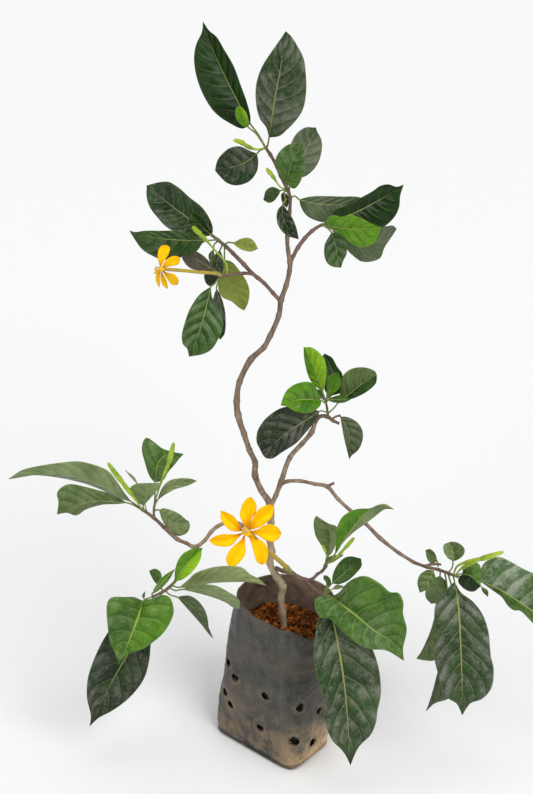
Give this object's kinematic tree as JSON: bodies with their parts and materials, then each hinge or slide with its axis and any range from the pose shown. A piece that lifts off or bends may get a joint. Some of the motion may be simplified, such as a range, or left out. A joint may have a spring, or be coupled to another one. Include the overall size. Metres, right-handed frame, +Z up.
{
  "type": "potted gardenia",
  "caption": "Young gardenia in a soft nursery grow bag, with a forked woody stem, glossy leaves, leaf buds and golden-yellow flowers.",
  "frame": {"origin": "on the floor under the bag, on the flat of its foot", "axes": "+Z up along the plant's height, +X to the right and -Y towards the viewer of the flowering side"},
  "size_m": [0.5597, 0.1747, 0.7275],
  "materials": {
    "film": "satin",
    "soil": "matte",
    "bark": "matte",
    "leaf": "gloss",
    "young_leaf": "gloss",
    "bud": "satin",
    "petal": "matte",
    "calyx": "satin",
    "stigma": "matte"
  },
  "bodies": {
    "root": {"grow_bag": "film", "potting_soil": "soil", "trunk_and_branches": "bark", "crown_spray": "leaf", "neck_spray": "leaf", "upper_right_spray": "leaf", "upper_left_spray": "leaf", "left_hanging_spray": "leaf", "middle_spray": "leaf", "far_left_spray": "leaf", "low_left_spray": "leaf", "rim_upper_spray": "leaf", "rim_lower_spray": "leaf", "far_right_spray": "leaf", "crown_young_leaf": "young_leaf", "neck_young_leaf": "young_leaf", "upper_right_young_leaf": "young_leaf", "upper_left_young_leaf": "young_leaf", "middle_young_leaf_up": "young_leaf", "middle_young_leaf_left": "young_leaf", "low_left_young_leaf_up": "young_leaf", "low_left_young_leaf_folded": "young_leaf", "low_left_front_leaf": "young_leaf", "rim_young_leaf_up": "young_leaf", "rim_front_leaf": "young_leaf", "crown_bud": "bud", "neck_bud": "bud", "long_stalked_bud": "bud", "far_left_bud_low": "bud", "far_left_bud_high": "bud", "rim_bud_right": "bud", "rim_bud_left": "bud", "far_right_bud_long": "bud", "far_right_bud_short": "bud", "large_bloom_corolla": "petal", "large_bloom_calyx": "calyx", "large_bloom_stigma": "stigma", "small_bloom_corolla": "petal", "small_bloom_calyx": "calyx", "small_bloom_stigma": "stigma"}
  },
  "joints": []
}
